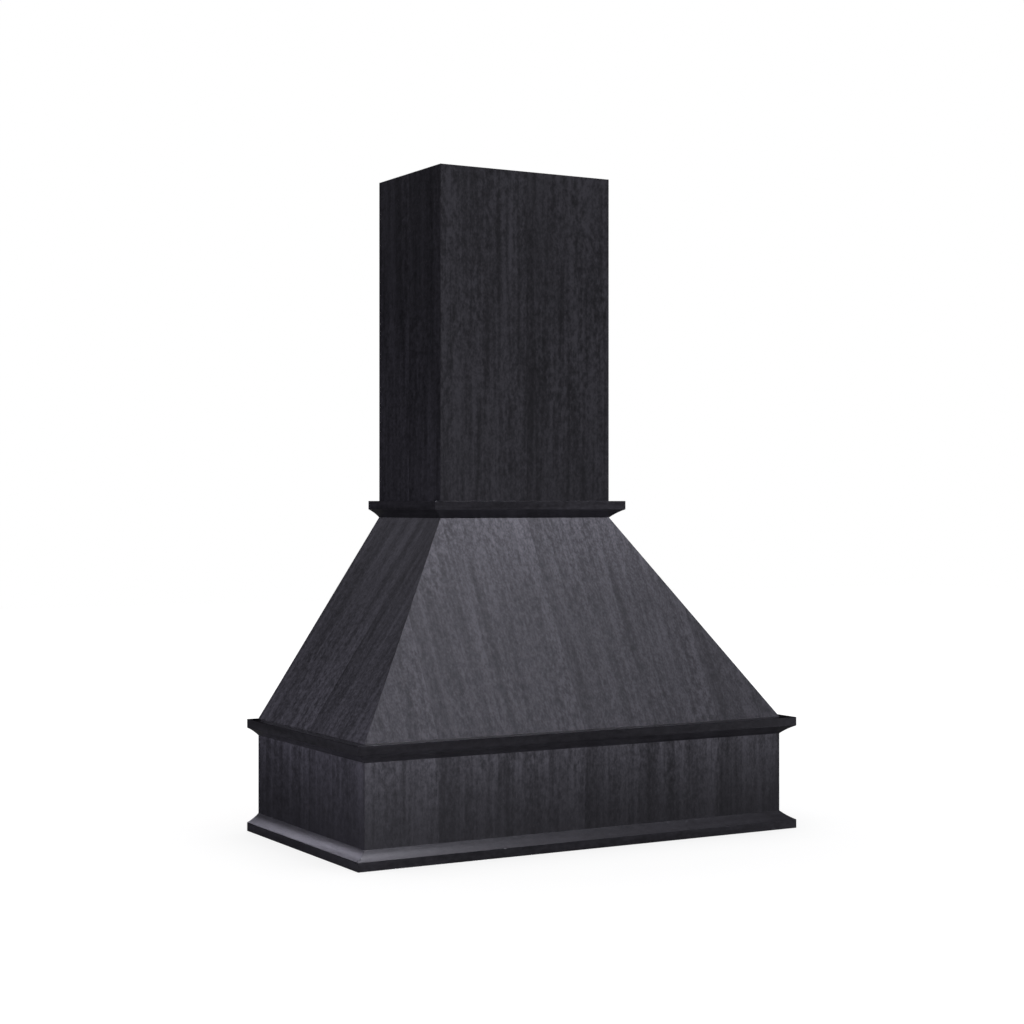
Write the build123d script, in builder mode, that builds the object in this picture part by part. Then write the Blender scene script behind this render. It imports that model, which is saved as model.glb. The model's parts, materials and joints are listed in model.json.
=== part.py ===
from build123d import *
import os
from math import atan, cos

# Wooden range hood cover for a wall: a straight band, three sloped panels and a box chimney.
#
# Millimetres. +X runs along the wall to the right, +Y points at the wall and +Z is up. The origin
# is under the middle of the cover, level with the underside of the bottom moulding. The back is
# open: every piece stops at the wall's plane.

# ---- Overall form ----
band_width = 914.4  # 36 in across the band's faces, as wide as the range below
band_depth = 488.0  # wall to the band's front face
band_height = 221.0  # up to the foot of the slopes
slope_top = 618.0  # height where the slopes meet the deck
total_height = 1302.5
chimney_width = 384.0
chimney_depth = 270.5  # wall to the chimney's front face

# ---- Sheet and batten stock ----
board = 18.0  # plywood of the band, the deck and the chimney
slope_board = 12.0  # plywood of the sloped panels
batten = 18.0  # square stock of cleats and glue blocks

# ---- Moulding, the same section three times ----
moulding_reach = 24.0  # how far it stands out from the board
moulding_height = 33.5
moulding_face = 17.0  # its flat outer face; the cove takes the rest of the height
cove_sag = 1.2  # hollow of the cove, below a straight bevel
arris = 0.8  # rounding of the outer edges

# ---- Pieces inside the band ----
ledge_rise = 20.0  # bottom edge up to the liner's ledge
ledge_height = 38.0
lower_rail_height = 75.0
upper_rail_height = 80.0
slope_cleat_drop = 31.0  # how far the bevelled cleats reach down into the band

# ---- Pieces behind the slopes ----
hip_leg = 50.0  # level leg of the glue blocks behind the hips
hip_block_gap = 6.0  # slope cleats up to the foot of the hip blocks
stile_width = 40.0
neck_rail_height = 70.0

# ---- Neck and chimney ----
neck_gap = 0.5  # between the chimney and the neck moulding round it
cleat_gap = 1.0  # between the chimney and the locating cleats inside it
block_gap = 5.0  # locating cleats up to the chimney's own blocks and rail
chimney_rail_height = 60.0
ceiling_room = 40.0  # left bare inside the chimney's top, for a cleat on the ceiling
duct_diameter = 203.2  # 8 in round duct
duct_clearance = 3.2  # round the duct, on the radius

# ---- Fasteners ----
screw_bite = 12.0  # how far a screw goes into the second piece
screw_shank = 4.0
screw_head = 8.0
screw_rim = 0.4  # upright edge of the countersunk head
screw_tip = 6.0
drive_square = 2.6
drive_depth = 2.0
thread_gap = 0.05  # round a screw or a dowel in its hole
dowel_diameter = 8.0
dowel_in_board = 11.0
dowel_in_rail = 19.0
dowel_chamfer = 1.0
dowel_end_gap = 0.4
wall_hole = 6.0  # diameter of the holes for the installer's wall screws
wall_screw_spacing = 406.4  # 16 in, the usual spacing of wall studs
neck_screw_spacing = 203.2  # 8 in, into blocking between the studs
liner_hole = 3.0  # diameter of the pilot holes under the ledges
liner_hole_depth = 25.0
liner_hole_spacing = 760.0

# ---- Places worked out from the sizes above ----
wall_y = (band_depth + moulding_reach) / 2
band_x = band_width / 2
band_y = wall_y - band_depth
inner_x = band_x - board  # inside faces of the band
inner_y = band_y + board
back_y = wall_y - board  # front of the rails at the back
ledge_top = ledge_rise + ledge_height

chimney_x = chimney_width / 2
chimney_y = wall_y - chimney_depth
flue_x = chimney_x - board  # inside faces of the chimney
flue_y = chimney_y + board
neck_x = chimney_x + neck_gap
neck_y = chimney_y - neck_gap
deck_top = slope_top + board
cleat_x = flue_x - cleat_gap  # outer faces of the locating cleats
cleat_y = flue_y + cleat_gap
cleat_top = deck_top + batten
duct_hole = duct_diameter / 2 + duct_clearance
duct_y = (cleat_y + batten + back_y) / 2

# Run of each slope for one unit of height, and the level thickness of its panel.
slope_rise = slope_top - band_height
side_run = (band_x - neck_x) / slope_rise
front_run = (neck_y - band_y) / slope_rise
side_level = slope_board / cos(atan(side_run))
front_level = slope_board / cos(atan(front_run))


def inside_x(z):
    """Half the width between the side slopes' inner faces at height z."""
    return band_x - side_level - (z - band_height) * side_run


def inside_y(z):
    """Where the front slope's inner face stands at height z."""
    return band_y + front_level + (z - band_height) * front_run


# Height where each bevelled cleat's inner edge meets its slope.
front_cleat_top = band_height + (board + batten - front_level) / front_run
side_cleat_top = band_height + (board + batten - side_level) / side_run
hip_foot = max(front_cleat_top, side_cleat_top) + hip_block_gap
stile_top = slope_top - neck_rail_height
stile_level = stile_width / cos(atan(side_run))


def spread(length, count):
    """Evenly spaced places along a length, centred on zero."""
    return [length * ((i + 0.5) / count - 0.5) for i in range(count)]


def both_hands(planes):
    """The given places on the right and their mirror images on the left."""
    left = [
        Plane(origin=(-p.origin.X, p.origin.Y, p.origin.Z), z_dir=(-p.z_dir.X, p.z_dir.Y, p.z_dir.Z))
        for p in planes
    ]
    return planes + left


def at(planes):
    """Locations for a list of places."""
    return Locations(*[Location(plane) for plane in planes])


def write(piece, name):
    """Label a finished piece and write it as its own file."""
    piece.part.label = name
    export_step(piece.part, f"parts/{name}.step")


def write_pair(piece, name):
    """Write the right-hand piece, and its mirror image as the left-hand one."""
    with BuildPart() as left_piece:
        mirror(piece.part, about=Plane.YZ)
    write(piece, f"{name}_right")
    write(left_piece, f"{name}_left")


def oblong(x_low, x_high, y_low, y_high):
    """Corners of a rectangle in plan."""
    return [(x_low, y_low), (x_high, y_low), (x_high, y_high), (x_low, y_high)]


# ---- Places of the screws: on the surface, facing out of the head ----
ledge_z = ledge_rise + ledge_height / 2
slope_cleat_z = band_height - slope_cleat_drop / 2
side_span = back_y - batten - inner_y - batten  # between the front and rear ledges
side_middle = (inner_y + back_y) / 2

front_ledge_screws = [
    Plane(origin=(x, inner_y + batten, ledge_z), z_dir=(0, 1, 0)) for x in spread(2 * inner_x, 4)
]
rear_ledge_screws = [
    Plane(origin=(x, back_y - batten, ledge_z), z_dir=(0, -1, 0)) for x in spread(2 * inner_x, 4)
]
side_ledge_screws = [
    Plane(origin=(inner_x - batten, side_middle + y, ledge_z), z_dir=(-1, 0, 0))
    for y in spread(side_span, 2)
]
front_cleat_screws = [
    Plane(origin=(x, inner_y + batten, slope_cleat_z), z_dir=(0, 1, 0))
    for x in spread(2 * inner_x, 4)
]
side_cleat_screws = [
    Plane(origin=(inner_x - batten, side_middle + y, slope_cleat_z), z_dir=(-1, 0, 0))
    for y in spread(side_span, 2)
]
hip_screw_inset = hip_leg / 4
hip_deck_screws = [
    Plane(
        origin=(inside_x(slope_top) - hip_screw_inset, inside_y(slope_top) + hip_screw_inset, deck_top),
        z_dir=(0, 0, 1),
    )
]
rail_deck_screws = [Plane(origin=(duct_hole, wall_y - board / 2, deck_top), z_dir=(0, 0, 1))]
front_locating_screws = [
    Plane(origin=(x, cleat_y + batten / 2, cleat_top), z_dir=(0, 0, 1)) for x in spread(2 * cleat_x, 3)
]
side_locating_screws = [
    Plane(origin=(cleat_x - batten / 2, (cleat_y + batten + back_y) / 2 + y, cleat_top), z_dir=(0, 0, 1))
    for y in spread(back_y - cleat_y - batten, 2)
]

# ---- Places of the dowels: on the joint, facing into the rail ----
wall_rail_dowels = [
    Plane(origin=(inner_x, wall_y - board / 2, z + dz), z_dir=(-1, 0, 0))
    for z, height in (
        (lower_rail_height / 2, lower_rail_height),
        (band_height - upper_rail_height / 2, upper_rail_height),
    )
    for dz in spread(height, 2)
]
chimney_rail_bottoms = (
    cleat_top + block_gap,
    total_height - ceiling_room - chimney_rail_height,
)
chimney_dowels = [
    Plane(origin=(flue_x, wall_y - board / 2, bottom + chimney_rail_height / 2 + dz), z_dir=(-1, 0, 0))
    for bottom in chimney_rail_bottoms
    for dz in spread(chimney_rail_height, 2)
]

# ---- Places of the installer's holes ----
lower_hole_z = (ledge_top + lower_rail_height) / 2
upper_hole_z = band_height - upper_rail_height / 2
neck_hole_z = slope_top - neck_rail_height / 2
chimney_hole_z = chimney_rail_bottoms[1] + chimney_rail_height / 2


def wall_holes(spacing, z):
    """Two holes for wall screws, at height z in a rail at the back."""
    return [Plane(origin=(x, wall_y, z), z_dir=(0, 1, 0)) for x in (-spacing / 2, spacing / 2)]


def liner_holes(y):
    """Two pilot holes for the liner's screws, under a ledge."""
    return [
        Plane(origin=(x, y, ledge_rise), z_dir=(0, 0, -1))
        for x in (-liner_hole_spacing / 2, liner_hole_spacing / 2)
    ]


# ---- Fasteners, and the seats that they leave in the wood ----
screw_length = batten + screw_bite


def screw_outline(growth, tip):
    """Half section of a countersunk screw, its head level with z = 0."""
    shank = screw_shank / 2 + growth
    head = screw_head / 2 + growth
    cone_foot = -screw_rim - (head - shank)
    end = -screw_length - growth
    return [(0, 0), (head, 0), (head, -screw_rim), (shank, cone_foot), (shank, end + tip), (0, end)]


with BuildPart() as wood_screw:
    with BuildSketch(Plane.XZ):
        with BuildLine():
            Polyline(*screw_outline(0, screw_tip), close=True)
        make_face()
    revolve(axis=Axis.Z)
    with BuildSketch():
        Rectangle(drive_square, drive_square)
    extrude(amount=-drive_depth, mode=Mode.SUBTRACT)

with BuildPart() as screw_seat:
    with BuildSketch(Plane.XZ):
        with BuildLine():
            Polyline(*screw_outline(thread_gap, screw_shank / 2), close=True)
        make_face()
    revolve(axis=Axis.Z)

with BuildPart() as dowel:
    with BuildSketch(Plane.XY.offset(-dowel_in_board)):
        Circle(dowel_diameter / 2)
    extrude(amount=dowel_in_board + dowel_in_rail)
    chamfer(dowel.edges().filter_by(GeomType.CIRCLE), dowel_chamfer)

with BuildPart() as dowel_seat:
    with BuildSketch(Plane.XY.offset(-dowel_in_board - dowel_end_gap)):
        Circle(dowel_diameter / 2 + thread_gap)
    extrude(amount=dowel_in_board + dowel_in_rail + 2 * dowel_end_gap)


def stand(name, outline, bottom, top, screws=(), dowels=(), holes=(), pair=False):
    """A board stood on its plan outline, with seats for its screws and dowels and its holes."""
    with BuildPart() as piece:
        with BuildSketch(Plane.XY.offset(bottom)):
            with BuildLine():
                Polyline(*outline, close=True)
            make_face()
        extrude(amount=top - bottom)
        seat_fasteners(screws, dowels, holes)
    if pair:
        write_pair(piece, name)
    else:
        write(piece, name)


def seat_fasteners(screws, dowels, holes):
    """Cut the seats of the given fasteners, and plain holes, out of the piece being made."""
    if screws:
        with at(screws):
            add(screw_seat.part, mode=Mode.SUBTRACT)
    if dowels:
        with at(dowels):
            add(dowel_seat.part, mode=Mode.SUBTRACT)
    for place, diameter, depth in holes:
        with at([place]):
            Hole(radius=diameter / 2, depth=depth)


def group(name, fastener, places):
    """Identical fasteners, one solid at each place, in one file."""
    with BuildPart() as pieces:
        with at(places):
            add(fastener.part)
    write(pieces, name)


def moulding_profile(cove_up):
    """Section of the moulding: x is outward from the board, y is up."""
    flat, tip = (0, moulding_height) if cove_up else (moulding_height, 0)
    lip = moulding_face if cove_up else moulding_height - moulding_face
    hollow = cove_sag if cove_up else -cove_sag
    with BuildSketch() as profile:
        with BuildLine():
            Polyline((0, tip), (0, flat), (moulding_reach, flat), (moulding_reach, lip))
            SagittaArc((moulding_reach, lip), (0, tip), hollow)
        make_face()
        fillet(profile.vertices().group_by(Axis.X)[-1], arris)
    return profile.sketch


def moulding(name, half_width, front_y, bottom, cove_up):
    """The moulding round the front and sides of a box, mitred at the front corners."""
    profile = moulding_profile(cove_up)
    right_mitre = Plane(origin=(half_width, front_y, 0), z_dir=(1, 1, 0))
    left_mitre = Plane(origin=(-half_width, front_y, 0), z_dir=(-1, 1, 0))
    with BuildPart() as front:
        with BuildSketch(Plane(origin=(0, front_y, bottom), x_dir=(0, -1, 0), z_dir=(-1, 0, 0))):
            add(profile)
        extrude(amount=half_width + moulding_reach, both=True)
        split(bisect_by=right_mitre, keep=Keep.BOTTOM)
        split(bisect_by=left_mitre, keep=Keep.BOTTOM)
    write(front, f"{name}_front")

    with BuildPart() as side:
        with BuildSketch(Plane(origin=(half_width, wall_y, bottom), x_dir=(1, 0, 0), z_dir=(0, -1, 0))):
            add(profile)
        extrude(amount=wall_y - front_y + moulding_reach)
        split(bisect_by=right_mitre, keep=Keep.TOP)
    write_pair(side, name)


os.makedirs("parts", exist_ok=True)

# ---- The band: three mitred boards, rails at the back, ledges and blocks inside ----
stand(
    "band_front",
    [(-band_x, band_y), (band_x, band_y), (inner_x, inner_y), (-inner_x, inner_y)],
    0,
    band_height,
    screws=front_ledge_screws + front_cleat_screws,
)
stand(
    "band",
    [(band_x, band_y), (band_x, wall_y), (inner_x, wall_y), (inner_x, inner_y)],
    0,
    band_height,
    screws=side_ledge_screws + side_cleat_screws,
    dowels=wall_rail_dowels,
    pair=True,
)
stand(
    "wall_rail_lower",
    oblong(-inner_x, inner_x, back_y, wall_y),
    0,
    lower_rail_height,
    screws=rear_ledge_screws,
    dowels=both_hands(wall_rail_dowels[:2]),
    holes=[(place, wall_hole, board) for place in wall_holes(wall_screw_spacing, lower_hole_z)],
)
stand(
    "wall_rail_upper",
    oblong(-inner_x, inner_x, back_y, wall_y),
    band_height - upper_rail_height,
    band_height,
    dowels=both_hands(wall_rail_dowels[2:]),
    holes=[(place, wall_hole, board) for place in wall_holes(wall_screw_spacing, upper_hole_z)],
)
stand(
    "liner_ledge_front",
    oblong(-inner_x, inner_x, inner_y, inner_y + batten),
    ledge_rise,
    ledge_top,
    screws=front_ledge_screws,
    holes=[(place, liner_hole, liner_hole_depth) for place in liner_holes(inner_y + batten / 2)],
)
stand(
    "liner_ledge_rear",
    oblong(-inner_x, inner_x, back_y - batten, back_y),
    ledge_rise,
    ledge_top,
    screws=rear_ledge_screws,
    holes=[(place, liner_hole, liner_hole_depth) for place in liner_holes(back_y - batten / 2)],
)
stand(
    "liner_ledge",
    oblong(inner_x - batten, inner_x, inner_y + batten, back_y - batten),
    ledge_rise,
    ledge_top,
    screws=side_ledge_screws,
    pair=True,
)
stand(
    "band_corner_block",
    oblong(inner_x - batten, inner_x, inner_y, inner_y + batten),
    ledge_top,
    band_height - slope_cleat_drop,
    pair=True,
)
group(
    "ledge_screws",
    wood_screw,
    front_ledge_screws + rear_ledge_screws + both_hands(side_ledge_screws),
)
group("wall_rail_dowels", dowel, both_hands(wall_rail_dowels))

moulding("bottom_moulding", band_x, band_y, 0, cove_up=True)
moulding("band_moulding", band_x, band_y, band_height - moulding_height, cove_up=False)

# ---- The slopes: boards of one slanted section each, mitred together along the hips ----
hip_edge = Vector(neck_x - band_x, neck_y - band_y, slope_rise)
hip_normal = Vector(-side_level, front_level, 0).cross(hip_edge)
hip_mitre = Plane(origin=(band_x, band_y, band_height), z_dir=hip_normal)
left_hip_mitre = Plane(
    origin=(-band_x, band_y, band_height),
    z_dir=(-hip_normal.X, hip_normal.Y, hip_normal.Z),
)

with BuildPart() as slope_front:
    with BuildSketch(Plane.YZ):
        with BuildLine():
            Polyline(
                (band_y, band_height),
                (neck_y, slope_top),
                (inside_y(slope_top), slope_top),
                (inside_y(band_height), band_height),
                close=True,
            )
        make_face()
    extrude(amount=band_x, both=True)
    split(bisect_by=hip_mitre, keep=Keep.BOTTOM)
    split(bisect_by=left_hip_mitre, keep=Keep.BOTTOM)
write(slope_front, "slope_front")

with BuildPart() as slope_side:
    with BuildSketch(Plane.XZ.offset(-wall_y)):
        with BuildLine():
            Polyline(
                (band_x, band_height),
                (neck_x, slope_top),
                (inside_x(slope_top), slope_top),
                (inside_x(band_height), band_height),
                close=True,
            )
        make_face()
    extrude(amount=band_depth)
    split(bisect_by=hip_mitre, keep=Keep.TOP)
write_pair(slope_side, "slope")

# ---- Bevelled cleats in the corner between the band and the slopes ----
side_face = Plane(origin=(inside_x(band_height), 0, band_height), z_dir=(1, 0, side_run))
left_side_face = Plane(origin=(-inside_x(band_height), 0, band_height), z_dir=(-1, 0, side_run))

with BuildPart() as slope_cleat_front:
    with BuildSketch(Plane.YZ):
        with BuildLine():
            Polyline(
                (inner_y, band_height - slope_cleat_drop),
                (inner_y, band_height + (board - front_level) / front_run),
                (inner_y + batten, front_cleat_top),
                (inner_y + batten, band_height - slope_cleat_drop),
                close=True,
            )
        make_face()
    extrude(amount=inner_x, both=True)
    split(bisect_by=side_face, keep=Keep.BOTTOM)
    split(bisect_by=left_side_face, keep=Keep.BOTTOM)
    seat_fasteners(front_cleat_screws, (), ())
write(slope_cleat_front, "slope_cleat_front")

with BuildPart() as slope_cleat_side:
    with BuildSketch(Plane.XZ.offset(-back_y)):
        with BuildLine():
            Polyline(
                (inner_x, band_height - slope_cleat_drop),
                (inner_x, band_height + (board - side_level) / side_run),
                (inner_x - batten, side_cleat_top),
                (inner_x - batten, band_height - slope_cleat_drop),
                close=True,
            )
        make_face()
    extrude(amount=back_y - inner_y - batten)
    seat_fasteners(side_cleat_screws, (), ())
write_pair(slope_cleat_side, "slope_cleat")
group("cleat_screws", wood_screw, front_cleat_screws + both_hands(side_cleat_screws))

# ---- Glue blocks behind the hips, cut level at both ends ----
with BuildPart() as hip_block:
    corner = (inside_x(hip_foot), inside_y(hip_foot))
    with BuildSketch(Plane.XY.offset(hip_foot)):
        with BuildLine():
            Polyline(
                corner,
                (corner[0], corner[1] + hip_leg),
                (corner[0] - hip_leg, corner[1]),
                close=True,
            )
        make_face()
    hip_run = Vector(-side_run, front_run, 1) * (slope_top - hip_foot)
    extrude(amount=hip_run.length, dir=hip_run.normalized())
    seat_fasteners(hip_deck_screws, (), ())
write_pair(hip_block, "hip_block")

# ---- The frame at the back of the slopes: two slanted stiles and the rail under the deck ----
with BuildPart() as back_stile:
    with BuildSketch(Plane.XZ.offset(-wall_y)):
        with BuildLine():
            Polyline(
                (inside_x(band_height), band_height),
                (inside_x(stile_top), stile_top),
                (inside_x(stile_top) - stile_level, stile_top),
                (inside_x(band_height) - stile_level, band_height),
                close=True,
            )
        make_face()
    extrude(amount=board)
write_pair(back_stile, "back_stile")

with BuildPart() as neck_rail:
    with BuildSketch(Plane.XZ.offset(-wall_y)):
        with BuildLine():
            Polyline(
                (-inside_x(stile_top), stile_top),
                (inside_x(stile_top), stile_top),
                (inside_x(slope_top), slope_top),
                (-inside_x(slope_top), slope_top),
                close=True,
            )
        make_face()
    extrude(amount=board)
    seat_fasteners(
        both_hands(rail_deck_screws),
        (),
        [(place, wall_hole, board) for place in wall_holes(neck_screw_spacing, neck_hole_z)],
    )
write(neck_rail, "neck_rail")

# ---- The neck: a deck with the duct hole, its moulding, and cleats that locate the chimney ----
deck_screws = hip_deck_screws + rail_deck_screws
locating_screws = front_locating_screws + side_locating_screws
stand(
    "neck_deck",
    oblong(-neck_x, neck_x, neck_y, wall_y),
    slope_top,
    deck_top,
    screws=both_hands(deck_screws + side_locating_screws) + front_locating_screws,
    holes=[(Plane(origin=(0, duct_y, deck_top), z_dir=(0, 0, 1)), 2 * duct_hole, board)],
)
group("deck_screws", wood_screw, both_hands(deck_screws))
stand(
    "locating_cleat_front",
    oblong(-cleat_x, cleat_x, cleat_y, cleat_y + batten),
    deck_top,
    cleat_top,
    screws=front_locating_screws,
)
stand(
    "locating_cleat",
    oblong(cleat_x - batten, cleat_x, cleat_y + batten, back_y),
    deck_top,
    cleat_top,
    screws=side_locating_screws,
    pair=True,
)
group(
    "locating_cleat_screws",
    wood_screw,
    front_locating_screws + both_hands(side_locating_screws),
)
moulding("neck_moulding", neck_x, neck_y, slope_top, cove_up=False)

# ---- The chimney: three mitred boards, two rails at the back and blocks in the corners ----
stand(
    "chimney_front",
    [(-chimney_x, chimney_y), (chimney_x, chimney_y), (flue_x, flue_y), (-flue_x, flue_y)],
    deck_top,
    total_height,
)
stand(
    "chimney",
    [(chimney_x, chimney_y), (chimney_x, wall_y), (flue_x, wall_y), (flue_x, flue_y)],
    deck_top,
    total_height,
    dowels=chimney_dowels,
    pair=True,
)
stand(
    "chimney_corner_block",
    oblong(flue_x - batten, flue_x, flue_y, flue_y + batten),
    cleat_top + block_gap,
    total_height - ceiling_room,
    pair=True,
)
stand(
    "chimney_rail_lower",
    oblong(-flue_x, flue_x, back_y, wall_y),
    chimney_rail_bottoms[0],
    chimney_rail_bottoms[0] + chimney_rail_height,
    dowels=both_hands(chimney_dowels[:2]),
)
stand(
    "chimney_rail_upper",
    oblong(-flue_x, flue_x, back_y, wall_y),
    chimney_rail_bottoms[1],
    chimney_rail_bottoms[1] + chimney_rail_height,
    dowels=both_hands(chimney_dowels[2:]),
    holes=[(place, wall_hole, board) for place in wall_holes(neck_screw_spacing, chimney_hole_z)],
)
group("chimney_dowels", dowel, both_hands(chimney_dowels))
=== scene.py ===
import json
import math
import bpy
from mathutils import Matrix, Vector


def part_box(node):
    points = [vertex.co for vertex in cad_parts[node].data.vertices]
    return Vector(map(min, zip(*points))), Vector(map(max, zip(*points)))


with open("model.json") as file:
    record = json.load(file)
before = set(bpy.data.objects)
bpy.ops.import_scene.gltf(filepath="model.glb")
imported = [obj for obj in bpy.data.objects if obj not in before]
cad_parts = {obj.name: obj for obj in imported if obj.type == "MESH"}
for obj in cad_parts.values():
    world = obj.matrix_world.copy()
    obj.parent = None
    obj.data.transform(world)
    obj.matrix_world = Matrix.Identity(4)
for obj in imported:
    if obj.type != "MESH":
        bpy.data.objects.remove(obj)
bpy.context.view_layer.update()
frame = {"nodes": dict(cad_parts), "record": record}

# Metres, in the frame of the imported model: the origin is under the middle of the cover, the wall
# is on its +Y side and +Z is up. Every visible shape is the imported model's own; this script gives
# each piece its wood or metal, and sets up the studio and the camera.

NODES = frame["nodes"]
SLOT_OF = {row["node"]: row["material_slot"] for row in frame["record"]["subparts"]}
COLOUR_OF = {slot["slot"]: slot["base_color"] for slot in frame["record"]["materials"]}

UP = Vector((0.0, 0.0, 1.0))
FRONT = Vector((0.0, -1.0, 0.0))
BACK = Vector((0.0, 1.0, 0.0))
RIGHT = Vector((1.0, 0.0, 0.0))

# ---- Places read from the frame ----
BAND_LOW, BAND_HIGH = (Vector(corner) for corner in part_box("band_front"))
SLOPE_LOW, SLOPE_HIGH = (Vector(corner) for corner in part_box("slope_front"))
DECK_LOW, DECK_HIGH = (Vector(corner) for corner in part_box("neck_deck"))
SLOPE_RISE = SLOPE_HIGH.z - SLOPE_LOW.z
SIDE_LEAN = BAND_HIGH.x - DECK_HIGH.x
FRONT_LEAN = DECK_LOW.y - BAND_LOW.y

# Directions up the slopes, and up the hips between them.
UP_FRONT_SLOPE = Vector((0.0, FRONT_LEAN, SLOPE_RISE)).normalized()
UP_LEFT_SLOPE = Vector((SIDE_LEAN, 0.0, SLOPE_RISE)).normalized()
UP_RIGHT_SLOPE = Vector((-SIDE_LEAN, 0.0, SLOPE_RISE)).normalized()
UP_LEFT_HIP = Vector((SIDE_LEAN, FRONT_LEAN, SLOPE_RISE)).normalized()
UP_RIGHT_HIP = Vector((-SIDE_LEAN, FRONT_LEAN, SLOPE_RISE)).normalized()


# ---- Camera: the photograph is level and looks from 30 degrees left of the front ----
PHOTO_SIZE = 1024  # pixels, like the next two
PHOTO_FOCAL = 1988.0
PHOTO_CENTRE = (523.05, 501.8)
SENSOR = 36.0  # millimetres
CAMERA_PLACE = (-1.9718, -3.4153, 0.6498)
CAMERA_TURN = math.radians(-30.0)
CAMERA_LEVEL = math.radians(90.0)


def add_camera():
    data = bpy.data.cameras.new("camera")
    data.sensor_width = SENSOR
    data.lens = PHOTO_FOCAL * SENSOR / PHOTO_SIZE
    data.shift_x = (PHOTO_SIZE / 2 - PHOTO_CENTRE[0]) / PHOTO_SIZE
    data.shift_y = (PHOTO_CENTRE[1] - PHOTO_SIZE / 2) / PHOTO_SIZE
    camera = bpy.data.objects.new("camera", data)
    camera.location = CAMERA_PLACE
    camera.rotation_euler = (CAMERA_LEVEL, 0.0, CAMERA_TURN)
    bpy.context.scene.collection.objects.link(camera)
    bpy.context.scene.camera = camera


# ---- Node trees ----
NOISE_ENDS = (0.25, 0.75)  # the noise node's grey seldom goes beyond these
MIX_SOCKETS = {"RGBA": ((6, 7), 2), "FLOAT": ((2, 3), 0)}  # the mix node's inputs and its output


class Tree:
    """Short calls for the nodes of one material, or of the world."""

    def __init__(self, owner):
        owner.use_nodes = True
        self.nodes = owner.node_tree.nodes
        self.links = owner.node_tree.links
        self.nodes.clear()

    def add(self, kind, inputs=None, **settings):
        node = self.nodes.new(kind)
        for name, value in settings.items():
            setattr(node, name, value)
        for name, value in (inputs or {}).items():
            if isinstance(value, bpy.types.NodeSocket):
                self.links.new(value, node.inputs[name])
            else:
                node.inputs[name].default_value = value
        return node

    def maths(self, operation, first, second=0.0):
        return self.add("ShaderNodeMath", {0: first, 1: second}, operation=operation).outputs[0]

    def dot(self, places, direction):
        pair = {0: places, 1: tuple(direction)}
        return self.add("ShaderNodeVectorMath", pair, operation="DOT_PRODUCT").outputs["Value"]

    def stretch(self, places, repeats):
        pair = {0: places, 1: repeats}
        return self.add("ShaderNodeVectorMath", pair, operation="MULTIPLY").outputs[0]

    def carry(self, value, start, end, low=0.0, high=1.0):
        """The value carried from start..end to low..high, and held at both ends."""
        ends = {"Value": value, "From Min": start, "From Max": end, "To Min": low, "To Max": high}
        return self.add("ShaderNodeMapRange", ends).outputs[0]

    def noise(self, places, repeats, detail=2.0):
        """Smooth noise from -1 to 1, with so many repeats a metre in each direction."""
        inputs = {"Vector": self.stretch(places, repeats), "Scale": 1.0, "Detail": detail}
        grey = self.add("ShaderNodeTexNoise", inputs).outputs[0]
        return self.carry(grey, *NOISE_ENDS, -1.0, 1.0)

    def total(self, start, *shares):
        """start plus each value times its share."""
        for value, share in shares:
            terms = {0: value, 1: share, 2: start}
            start = self.add("ShaderNodeMath", terms, operation="MULTIPLY_ADD").outputs[0]
        return start

    def shade(self, colour, factor):
        """A colour made lighter or darker by a factor."""
        terms = {0: colour, "Scale": factor}
        return self.add("ShaderNodeVectorMath", terms, operation="SCALE").outputs[0]

    def blend(self, factor, first, second, kind="RGBA"):
        """From the first colour to the second as factor goes from 0 to 1, or numbers for FLOAT."""
        (first_socket, second_socket), output = MIX_SOCKETS[kind]
        inputs = {0: factor, first_socket: first, second_socket: second}
        return self.add("ShaderNodeMix", inputs, data_type=kind).outputs[output]


# ---- Materials in general ----
SHIFT_STEP = (0.0, 1.37, 2.11)  # metres from the grain of one piece to the grain of the next


def new_material(name):
    material = bpy.data.materials.new(name)
    return material, Tree(material)


def dress(piece, material):
    for slot in NODES[piece].material_slots:
        slot.material = material


def join_shader(tree, colour, roughness, relief, depth, **constants):
    """One shader from a surface's colour, roughness and relief, which is depth metres deep."""
    bump = tree.add("ShaderNodeBump", {"Height": relief, "Distance": depth}).outputs[0]
    inputs = {"Base Color": colour, "Roughness": roughness, "Normal": bump}
    shader = tree.add("ShaderNodeBsdfPrincipled", {**inputs, **constants}).outputs[0]
    tree.add("ShaderNodeOutputMaterial", {"Surface": shader})


def own_shift(piece):
    """A shift of the grain that no other piece shares, in metres."""
    order = sorted(NODES).index(piece)
    return tuple(step * order for step in SHIFT_STEP)


def grain_places(tree, across, along, shift=(0.0, 0.0, 0.0)):
    """Places in a board's own directions: across its grain, along it, and out of its face."""
    turn = Matrix((across, along, across.cross(along))).to_euler()
    places = tree.add("ShaderNodeTexCoord").outputs["Object"]
    inputs = {"Vector": places, "Rotation": turn, "Location": shift}
    return tree.add("ShaderNodeMapping", inputs).outputs[0]


def reach(piece, direction):
    """How far a piece reaches along a direction: its lowest and highest place, in metres."""
    places = [direction.dot(corner.co) for corner in NODES[piece].data.vertices]
    return min(places), max(places)


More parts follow.
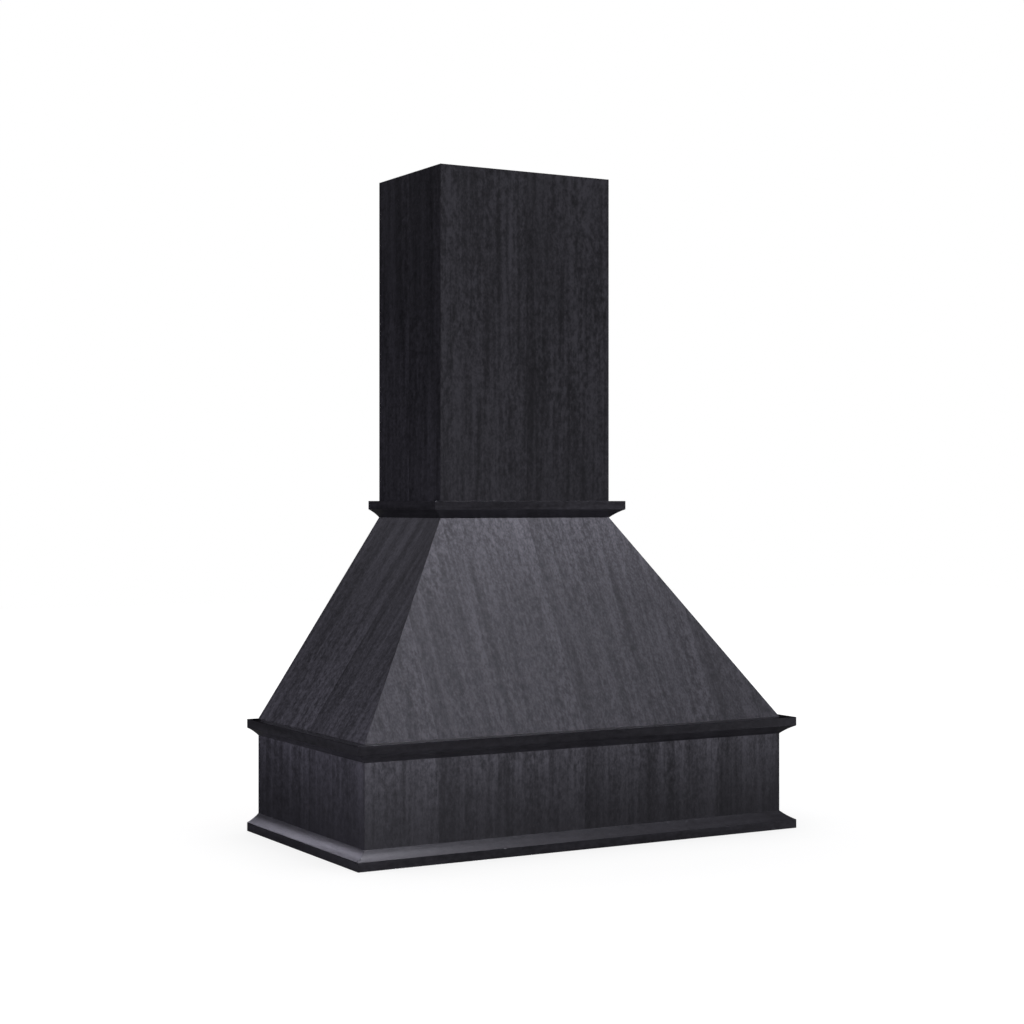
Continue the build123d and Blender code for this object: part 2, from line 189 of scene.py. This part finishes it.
# ---- Raw plywood ----
PLY = 0.0014  # thickness of one ply
PLY_BLUR = (0.42 * PLY, 0.58 * PLY)  # the depths between which one ply turns into the next
PLYWOOD_FIGURE = (9.0, 1.1, 3.0)  # repeats a metre: across the grain, along it and into the wood
PLYWOOD_FIBRES = (700.0, 14.0, 500.0)
PLYWOOD_WAVES = 14.0  # how closely the lines of the figure lie
PLYWOOD_SHADE = (0.05, 0.09, -0.35)  # shares of those lines, the fibres and the cross plies
PLYWOOD_ROUGHNESS = 0.62
PLYWOOD_RELIEF = 0.00008
FIBRE_ROUGHNESS = 0.05  # the fibres' share in the roughness of all raw wood
EDGE_TURN = (0.6, 0.5)  # how little a surface faces out, as a cosine, where its plies start to show


def raw_plywood(tree, piece, across, along):
    """Colour and fibres of raw birch plywood, which shows its plies on the edges."""
    out = across.cross(along)
    surface = tree.add("ShaderNodeTexCoord").outputs
    grain = grain_places(tree, across, along, own_shift(piece))
    figure = tree.noise(grain, PLYWOOD_FIGURE, detail=1.0)
    waves = tree.maths("SINE", tree.maths("MULTIPLY", figure, PLYWOOD_WAVES))
    fibres = tree.noise(grain, PLYWOOD_FIBRES)
    depth = tree.maths("SUBTRACT", reach(piece, out)[1], tree.dot(surface["Object"], out))
    cross_ply = tree.carry(tree.maths("PINGPONG", depth, PLY), *PLY_BLUR)
    on_edge = tree.carry(tree.maths("ABSOLUTE", tree.dot(surface["Normal"], out)), *EDGE_TURN)
    stripes = tree.maths("MULTIPLY", on_edge, cross_ply)
    shade = tree.total(1.0, *zip((waves, fibres, stripes), PLYWOOD_SHADE))
    return tree.shade(COLOUR_OF["raw_plywood"], shade), fibres


def dress_plywood(piece, across, along):
    """A board of raw plywood."""
    material, tree = new_material(piece)
    colour, fibres = raw_plywood(tree, piece, across, along)
    roughness = tree.total(PLYWOOD_ROUGHNESS, (fibres, FIBRE_ROUGHNESS))
    join_shader(tree, colour, roughness, fibres, PLYWOOD_RELIEF)
    dress(piece, material)


# ---- Stained wood: its colour is the stain's times e to the power of its tone ----
STAIN = (0.0337, 0.0325, 0.0390)
STAIN_GLOSS = {"Specular IOR Level": 1.0, "Specular Tint": (0.87, 0.85, 1.0, 1.0)}
PANEL_ROUGHNESS = 0.50
PANEL_RELIEF = 0.00012
MOULDING_ROUGHNESS = 0.30
MOULDING_RELIEF = 0.00005
ROUGHNESS_SHARES = (-0.03, 0.12)  # of the streaks and the pores
RELIEF_SHARES = (0.8, 0.5, 0.3, -0.8)  # of the streaks, the mottle, the flecks and the pores

# How much a surface faces a way, as a cosine: where a change starts and where it is complete.
STAINED_FACE = (0.45, 0.55)  # a panel's surface that faces out is stained
DOWN_FACE_MORE = 0.3  # a panel's edge that faces down is stained from this much more
PAINTED_UNDERSIDE = (0.3, 0.7)  # a moulding's surface that faces down gets the painted shade or painted light set for its underside

# How often each kind of mark repeats in a metre: across the grain, along it and into the wood.
STREAKS = (108.0, 4.5, 90.0)
MOTTLE = (118.0, 62.0, 110.0)
MOTTLED_PATCHES = (16.0, 4.0, 12.0)
FLECKS = (290.0, 180.0, 330.0)
BANDS = (34.0, 1.2, 28.0)
PORES = (1100.0, 90.0, 1100.0)
PATCH_ENDS = (-0.6, 0.6)  # the noise between the patches and in them
PORE_ENDS = (0.35, 0.8)  # the noise where a pore starts and where it is deepest

# The shares of the marks in the tone. Each kind of panel has its own for the streaks, the mottle
# and the flecks, in front and at the sides.
PANEL_GRAIN = {
    "band": ((0.66, 0.57, 0.55), (0.64, 0.57, 0.62)),
    "slope": ((0.49, 0.73, 0.71), (0.58, 0.43, 0.73)),
    "chimney": ((0.89, 0.77, 0.74), (0.50, 0.48, 0.52)),
}
BANDS_AND_PORES = (0.44, -0.29)  # their shares on all panels
MOULDING_GRAIN = (0.41, 0.35, 0.34, 0.22, -0.145)  # the shares of all five on the mouldings
MOTTLE_STRENGTH = (0.5, 1.3)  # between the patches and in them
SQUARE_SHARE = -0.34  # of the tone's own square, so that dark marks stand out more than pale ones
SQUARE_LIFT = 0.06  # makes up for what the square takes from the mean tone
GRAIN_WIDTH = (1.0, 1.5)  # how broad a panel's marks are, in front and at the sides

# Painted light and shade: the tone grows lighter or darker up a panel. Two heights, and what is
# added to the tone at them.
# The band: painted shade towards the bottom and painted light at the top.
BAND_PAINTED_SHADE = (BAND_LOW.z + 0.045, BAND_HIGH.z - 0.035, -0.80, 0.70)
PANEL_PAINTED_SHADE = {  # in front, at the sides
    "band": (BAND_PAINTED_SHADE, BAND_PAINTED_SHADE),
    # The slopes: painted light towards the top in front, and towards the bottom at the sides.
    "slope": (
        (SLOPE_HIGH.z - 0.16, SLOPE_HIGH.z, 0.05, 0.80),
        (SLOPE_LOW.z, SLOPE_HIGH.z, 0.38, -0.28),
    ),
    # The chimney: painted shade towards the bottom in front, and towards the top at the sides.
    "chimney": (
        (DECK_HIGH.z, DECK_HIGH.z + 0.3, -0.38, -0.10),
        (DECK_HIGH.z + 0.3, DECK_HIGH.z + 0.6, 0.12, -0.10),
    ),
}
# Painted shade on the mouldings: the tone all over each kind is in part painted shade and light;
# underneath, the neck moulding has painted shade and the band moulding painted light.
MOULDING_PAINTED_SHADES = {  # the tone all over, partly painted shade, and the painted shade or painted light added underneath
    "bottom": (-0.32, 0.0),
    "band": (-0.50, 0.35),
    "neck": (0.04, -1.1),
}

# A panel is veneered in leaves. Each is dark where it starts and pale where it ends: two places
# across it, and what is added to the tone at them.
LEAF = 0.31  # width of one leaf
LEAF_STEP = 0.004  # how much deeper in the log each next leaf was cut
LEAF_START = (0.0, 0.06, -0.28, 0.0)
LEAF_END = (LEAF - 0.045, LEAF - 0.02, 0.0, 0.14)


def stained_surface(tree, grain, shares, smooth_roughness):
    """Tone, roughness and relief of stained wood, from its five kinds of mark."""
    streaks = tree.noise(grain, STREAKS)
    patches = tree.carry(tree.noise(grain, MOTTLED_PATCHES), *PATCH_ENDS, *MOTTLE_STRENGTH)
    mottle = tree.maths("MULTIPLY", tree.noise(grain, MOTTLE), patches)
    flecks = tree.noise(grain, FLECKS)
    bands = tree.noise(grain, BANDS)
    pores = tree.carry(tree.noise(grain, PORES), *PORE_ENDS)
    even_tone = tree.total(0.0, *zip((streaks, mottle, flecks, bands, pores), shares))
    square = tree.maths("MULTIPLY", even_tone, even_tone)
    tone = tree.total(SQUARE_LIFT, (even_tone, 1.0), (square, SQUARE_SHARE))
    roughness = tree.total(smooth_roughness, *zip((streaks, pores), ROUGHNESS_SHARES))
    relief = tree.total(0.0, *zip((streaks, mottle, flecks, pores), RELIEF_SHARES))
    return tone, roughness, relief


def leaf_places(tree, piece, across, along):
    """Grain places that start again in each leaf of veneer, and the place across the leaf."""
    shift = own_shift(piece)
    parts = tree.add("ShaderNodeSeparateXYZ", {0: grain_places(tree, across, along)}).outputs
    from_middle = tree.maths("SUBTRACT", parts[0], sum(reach(piece, across)) / 2)
    leaf = tree.maths("FLOOR", tree.maths("DIVIDE", from_middle, LEAF))
    inside = tree.total(from_middle, (leaf, -LEAF))
    deep = tree.total(shift[2], (parts[2], 1.0), (leaf, LEAF_STEP))
    turned = {0: inside, 1: tree.maths("ADD", parts[1], shift[1]), 2: deep}
    return tree.add("ShaderNodeCombineXYZ", turned).outputs[0], inside


def dress_panel(kind, side, across, along):
    """Plywood, veneered and stained on its outer face and raw behind it."""
    piece = f"{kind}_{side}"
    at_side = side != "front"
    material, tree = new_material(piece)
    surface = tree.add("ShaderNodeTexCoord").outputs

    grain, inside_leaf = leaf_places(tree, piece, across, along)
    grain = tree.stretch(grain, (1.0 / GRAIN_WIDTH[at_side], 1.0, 1.0))
    shares = PANEL_GRAIN[kind][at_side] + BANDS_AND_PORES
    tone, roughness, relief = stained_surface(tree, grain, shares, PANEL_ROUGHNESS)
    leaf_start = tree.carry(inside_leaf, *LEAF_START)
    leaf_end = tree.carry(inside_leaf, *LEAF_END)
    # Painted light and shade, lighter or darker with height.
    painted_shade = tree.carry(tree.dot(surface["Object"], UP), *PANEL_PAINTED_SHADE[kind][at_side])
    tone = tree.total(tone, (leaf_start, 1.0), (leaf_end, 1.0), (painted_shade, 1.0))
    stained = tree.shade(STAIN, tree.maths("EXPONENT", tone))
    raw, fibres = raw_plywood(tree, piece, across, along)

    # The stain covers the outer face, and edges that look straight down.
    facing_out = tree.dot(surface["Normal"], across.cross(along))
    facing_down = tree.maths("SUBTRACT", tree.dot(surface["Normal"], -UP), DOWN_FACE_MORE)
    is_stained = tree.carry(tree.maths("MAXIMUM", facing_out, facing_down), *STAINED_FACE)
    join_shader(
        tree,
        tree.blend(is_stained, raw, stained),
        tree.blend(is_stained, PLYWOOD_ROUGHNESS, roughness, "FLOAT"),
        tree.blend(is_stained, fibres, relief, "FLOAT"),
        PANEL_RELIEF,
        **STAIN_GLOSS,
    )
    dress(piece, material)


def dress_moulding(kind, side, along):
    """A solid moulding, stained all round, with its grain along its length."""
    piece = f"{kind}_moulding_{side}"
    kind_painted_shade, painted_under_shade = MOULDING_PAINTED_SHADES[kind]
    material, tree = new_material(piece)
    grain = grain_places(tree, UP, along, own_shift(piece))
    tone, roughness, relief = stained_surface(tree, grain, MOULDING_GRAIN, MOULDING_ROUGHNESS)
    # Painted shade under the neck moulding and painted light under the band moulding, on the
    # surfaces that face down.
    facing_down = tree.dot(tree.add("ShaderNodeTexCoord").outputs["Normal"], -UP)
    under = tree.carry(facing_down, *PAINTED_UNDERSIDE, 0.0, painted_under_shade)
    tone = tree.total(kind_painted_shade, (tone, 1.0), (under, 1.0))
    colour = tree.shade(STAIN, tree.maths("EXPONENT", tone))
    join_shader(tree, colour, roughness, relief, MOULDING_RELIEF, **STAIN_GLOSS)
    dress(piece, material)


# ---- Solid raw woods, and metal ----
# Repeats a metre, in the same order as above, and the shade, roughness and relief of each.
BATTEN_WANDER = (4.0, 1.5, 4.0)
BATTEN_RINGS = (310.0, 120.0)  # growth rings a metre: across a batten, and into it
BATTEN_BEND = 1.6  # how many rings' width the rings wander
BATTEN_FIBRES = (900.0, 16.0, 900.0)
EARLY_WOOD = 1.06  # shade of the pale part of each ring
LATE_WOOD_POWER = 3.0  # gathers the dark part at the end of the ring
BATTEN_SHADE = (-0.28, 0.07)  # shares of the late wood and the fibres
BATTEN_RELIEF_SHARES = (0.5, 0.6)  # of the same two
BATTEN_ROUGHNESS = 0.60
BATTEN_RELIEF = 0.0001

DOWEL_FLECKS = (1500.0, 260.0, 1500.0)
DOWEL_FLECK_ENDS = (0.3, 0.8)  # the noise where a fleck starts and where it is darkest
DOWEL_FIBRES = (600.0, 20.0, 600.0)
DOWEL_SHADE = (-0.22, 0.08)  # shares of the flecks and the fibres
DOWEL_ROUGHNESS = 0.50
DOWEL_RELIEF = 0.00006

SCREW_CLOUDS = (260.0, 260.0, 260.0)
SCREW_MARKS = (2600.0, 2600.0, 2600.0)
SCREW_SHADE = (0.1, 0.05)  # shares of the clouds and the marks
SCREW_ROUGHNESS_SHARES = (0.08, 0.04)  # of the same two
SCREW_ROUGHNESS = 0.34
SCREW_RELIEF = 0.00002


def dress_batten(piece, along):
    """A sawn softwood batten, cut beside the heart, so that its rings show on every face."""
    material, tree = new_material(piece)
    grain = grain_places(tree, along.orthogonal().normalized(), along, own_shift(piece))
    wander = tree.noise(grain, BATTEN_WANDER, detail=1.0)
    parts = tree.add("ShaderNodeSeparateXYZ", {0: grain}).outputs
    ring_places = zip((parts[0], parts[2], wander), (*BATTEN_RINGS, BATTEN_BEND))
    rings = tree.total(0.0, *ring_places)
    late_wood = tree.maths("POWER", tree.maths("FRACT", rings), LATE_WOOD_POWER)
    fibres = tree.noise(grain, BATTEN_FIBRES)
    shade = tree.total(EARLY_WOOD, *zip((late_wood, fibres), BATTEN_SHADE))
    colour = tree.shade(COLOUR_OF["raw_batten"], shade)
    roughness = tree.total(BATTEN_ROUGHNESS, (fibres, FIBRE_ROUGHNESS))
    relief = tree.total(0.0, *zip((late_wood, fibres), BATTEN_RELIEF_SHARES))
    join_shader(tree, colour, roughness, relief, BATTEN_RELIEF)
    dress(piece, material)


def dress_dowels(piece):
    """Beech dowels, with the short dark flecks of beech along them."""
    material, tree = new_material(piece)
    grain = grain_places(tree, UP, RIGHT, own_shift(piece))
    flecks = tree.carry(tree.noise(grain, DOWEL_FLECKS), *DOWEL_FLECK_ENDS)
    fibres = tree.noise(grain, DOWEL_FIBRES)
    shade = tree.total(1.0, *zip((flecks, fibres), DOWEL_SHADE))
    colour = tree.shade(COLOUR_OF["beech_dowel"], shade)
    roughness = tree.total(DOWEL_ROUGHNESS, (fibres, FIBRE_ROUGHNESS))
    join_shader(tree, colour, roughness, fibres, DOWEL_RELIEF)
    dress(piece, material)


def dress_screws(piece):
    """Zinc-plated screws: metal with faint cloudy patches and fine marks."""
    material, tree = new_material(piece)
    places = tree.add("ShaderNodeTexCoord").outputs["Object"]
    clouds = tree.noise(places, SCREW_CLOUDS)
    marks = tree.noise(places, SCREW_MARKS, detail=1.0)
    shade = tree.total(1.0, *zip((clouds, marks), SCREW_SHADE))
    colour = tree.shade(COLOUR_OF["zinc_screw"], shade)
    roughness = tree.total(SCREW_ROUGHNESS, *zip((clouds, marks), SCREW_ROUGHNESS_SHARES))
    join_shader(tree, colour, roughness, marks, SCREW_RELIEF, Metallic=1.0)
    dress(piece, material)


# ---- Which piece is which wood ----
# The ways across and up the panels of each side, seen from outside.
FACES = {"front": (RIGHT, UP), "left": (FRONT, UP), "right": (BACK, UP)}
SLOPES = {
    "front": (RIGHT, UP_FRONT_SLOPE),
    "left": (FRONT, UP_LEFT_SLOPE),
    "right": (BACK, UP_RIGHT_SLOPE),
}
RAILS = (
    "wall_rail_lower",
    "wall_rail_upper",
    "neck_rail",
    "chimney_rail_lower",
    "chimney_rail_upper",
)
SLANTED_BATTENS = {
    "hip_block_left": UP_LEFT_HIP,
    "hip_block_right": UP_RIGHT_HIP,
    "back_stile_left": UP_LEFT_SLOPE,
    "back_stile_right": UP_RIGHT_SLOPE,
}


def longest_way(piece):
    """The axis along which a piece is longest."""
    low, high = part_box(piece)
    return max((RIGHT, BACK, UP), key=lambda way: way.dot(Vector(high) - Vector(low)))


def dress_all():
    for side, (across, along) in FACES.items():
        dress_panel("band", side, across, along)
        dress_panel("chimney", side, across, along)
        for kind in MOULDING_PAINTED_SHADES:
            dress_moulding(kind, side, across)
    for side, (across, along) in SLOPES.items():
        dress_panel("slope", side, across, along)
    for rail in RAILS:
        dress_plywood(rail, UP, RIGHT)
    dress_plywood("neck_deck", RIGHT, BACK)
    for piece in NODES:
        slot = SLOT_OF[piece]
        if slot == "raw_batten":
            dress_batten(piece, SLANTED_BATTENS.get(piece, longest_way(piece)))
        elif slot == "beech_dowel":
            dress_dowels(piece)
        elif slot == "zinc_screw":
            dress_screws(piece)


# ---- Lamps ----
LAMP_AIM = Vector((0.0, 0.0, 0.5))
LAMPS = {  # place, width and height in metres, watts, and the group that each one lights
    "key": ((1.49, -1.99, 3.68), 1.0, 1.0, 27.0, "cover"),
    "top": ((0.60, 0.58, 4.20), 0.6, 0.6, 108.0, "boards"),
    "top_rim": ((0.65, 0.58, 4.20), 0.8, 0.8, 52.0, "plinth"),
    "front": ((-0.70, -1.87, 0.18), 1.2, 0.3, 10.8, "boards"),
    "front_rim": ((-1.6, -3.2, 0.3), 0.8, 0.8, 42.0, "mouldings"),
    "left": ((-1.51, 0.11, 0.19), 0.5, 0.5, 3.1, "cover"),
    "right": ((1.71, -1.04, 0.16), 0.8, 0.8, 1.7, "cover"),
    "right_rim": ((2.8, 0.2, 0.10), 0.8, 0.2, 14.0, "mouldings"),
    "back": ((-0.42, 3.72, 2.08), 0.6, 0.6, 2.0, "boards"),
    "back_rim": ((-0.42, 3.72, 2.08), 0.6, 0.6, 4.2, "plinth"),
    "under": ((0.0, 0.0, -1.0), 0.8, 0.8, 7.0, "below"),
    "rear": ((2.3, 1.9, 1.3), 1.6, 1.6, 34.0, "boards"),
    "floor": ((0.0, 0.0, 5.0), 6.0, 6.0, 290.0, "floor"),
}
SHADOWED = ("rear", "floor")
COOLER = ("left", "back", "back_rim")
COOL = (0.97, 0.95, 1.07)  # for these lamps and the world, which fill the dark faces
WHITE = (1.0, 1.0, 1.0)
AMBIENT = 0.15  # strength of the world's light


def group(name, pieces):
    """A collection of pieces, for a lamp or the stage to light."""
    collection = bpy.data.collections.new(name)
    for piece in pieces:
        collection.objects.link(NODES[piece])
    return collection


def add_lamp(name, place, width, height, power, lit):
    """A soft lamp turned to the cover, for the pieces of one collection."""
    data = bpy.data.lights.new(name, "AREA")
    data.shape = "RECTANGLE"
    data.size = width
    data.size_y = height
    data.energy = power
    data.color = COOL if name in COOLER else WHITE
    # The photograph's own light casts no shadows on the wood. A lamp without shadows needs the
    # second line too, or the body would still hide it from the gloss.
    data.use_shadow = name in SHADOWED
    data.cycles.use_multiple_importance_sampling = name in SHADOWED
    lamp = bpy.data.objects.new(name, data)
    lamp.location = place
    lamp.rotation_euler = (lamp.location - LAMP_AIM).to_track_quat("Z", "Y").to_euler()
    lamp.visible_camera = False
    lamp.light_linking.receiver_collection = lit
    bpy.context.scene.collection.objects.link(lamp)


def add_lamps(floor):
    """All lamps, each with its own group of pieces. The plinth is the bottom moulding."""
    plinth = [piece for piece in NODES if piece.startswith("bottom_moulding")]
    mouldings = [piece for piece in NODES if SLOT_OF[piece] == "stained_moulding"]
    boards = [piece for piece in NODES if piece not in mouldings]
    groups = {
        "cover": group("cover", NODES),
        "plinth": group("plinth", plinth),
        "mouldings": group("mouldings", mouldings),
        "boards": group("boards", boards),
        "below": group("below", boards + plinth),
        "floor": bpy.data.collections.new("floor"),
    }
    groups["floor"].objects.link(floor)
    for name, (place, width, height, power, lit) in LAMPS.items():
        add_lamp(name, place, width, height, power, groups[lit])


def add_world():
    world = bpy.data.worlds.new("world")
    tree = Tree(world)
    light = {"Color": (*COOL, 1.0), "Strength": AMBIENT}
    dim = tree.add("ShaderNodeBackground", light).outputs[0]
    tree.add("ShaderNodeOutputWorld", {"Surface": dim})
    bpy.context.scene.world = world


# ---- Stage ----
STAGE_REACH = 12.0
STAGE_DROP = 0.0002  # the floor lies this far under the cover, clear of its lowest faces
FLOOR_TONE = 0.25  # in the camera's own view
FLOOR_BOUNCE = 0.05  # for all other light
FLOOR_GLOW = 0.77  # what brings the lit floor up to white in the picture
FLOOR_FADE = (0.5, 3.0)  # how far out the glow starts to grow, and where it is the backdrop's


def is_seen(tree):
    """1 for rays of the camera, and of metal and glass that show the backdrop too."""
    path = tree.add("ShaderNodeLightPath").outputs
    metal_or_glass = tree.maths("MAXIMUM", path["Is Glossy Ray"], path["Is Transmission Ray"])
    return tree.maths("MAXIMUM", path["Is Camera Ray"], metal_or_glass)


def add_stage_mesh(name, corners, faces, material, metal):
    """A part of the stage. Its glow shows in the metal pieces and puts no light on the wood."""
    mesh = bpy.data.meshes.new(name)
    mesh.from_pydata(corners, [], faces)
    mesh.materials.append(material)
    stage = bpy.data.objects.new(name, mesh)
    bpy.context.scene.collection.objects.link(stage)
    stage.light_linking.receiver_collection = metal
    return stage


def add_floor(metal):
    """Pale floor. Its glow grows with distance, so that it meets the backdrop without a line."""
    material, tree = new_material("floor")
    places = tree.add("ShaderNodeTexCoord").outputs["Object"]
    away = tree.add("ShaderNodeVectorMath", {0: places}, operation="LENGTH").outputs["Value"]
    glow = tree.carry(away, *FLOOR_FADE, FLOOR_GLOW, 1.0)
    seen_glow = tree.maths("MULTIPLY", glow, is_seen(tree))
    by_camera = tree.add("ShaderNodeLightPath").outputs["Is Camera Ray"]
    tone = tree.carry(by_camera, 0.0, 1.0, FLOOR_BOUNCE, FLOOR_TONE)
    lit = tree.add("ShaderNodeBsdfDiffuse", {"Color": tone}).outputs[0]
    bright = tree.add("ShaderNodeEmission", {"Strength": seen_glow}).outputs[0]
    top = tree.add("ShaderNodeAddShader", {0: lit, 1: bright}).outputs[0]
    below = tree.add("ShaderNodeNewGeometry").outputs["Backfacing"]
    clear = tree.add("ShaderNodeBsdfTransparent").outputs[0]
    surface = tree.add("ShaderNodeMixShader", {0: below, 1: top, 2: clear}).outputs[0]
    tree.add("ShaderNodeOutputMaterial", {"Surface": surface})
    material.cycles.emission_sampling = "NONE"
    side = STAGE_REACH / math.sqrt(2.0)
    square = ((-side, -side), (side, -side), (side, side), (-side, side))
    corners = [(x, y, -STAGE_DROP) for x, y in square]
    return add_stage_mesh("floor", corners, [(0, 1, 2, 3)], material, metal)


def add_backdrop(metal):
    """A white backdrop all round, seen by the camera and in metal, and clear to all other light."""
    material, tree = new_material("backdrop")
    white = tree.add("ShaderNodeEmission", {"Strength": 1.0}).outputs[0]
    clear = tree.add("ShaderNodeBsdfTransparent").outputs[0]
    surface = tree.add("ShaderNodeMixShader", {0: is_seen(tree), 1: clear, 2: white}).outputs[0]
    tree.add("ShaderNodeOutputMaterial", {"Surface": surface})
    material.cycles.emission_sampling = "NONE"
    ends = (-STAGE_REACH, STAGE_REACH)
    corners = [(x, y, z) for z in ends for y in ends for x in ends]
    faces = [(0, 1, 3, 2), (4, 5, 7, 6), (0, 1, 5, 4), (2, 3, 7, 6), (0, 2, 6, 4), (1, 3, 7, 5)]
    add_stage_mesh("backdrop", corners, faces, material, metal)


def add_studio():
    metal = group("metal", [piece for piece in NODES if SLOT_OF[piece] == "zinc_screw"])
    floor = add_floor(metal)
    add_backdrop(metal)
    add_world()
    add_lamps(floor)


add_camera()
dress_all()
add_studio()
bpy.context.scene.view_settings.view_transform = "Standard"
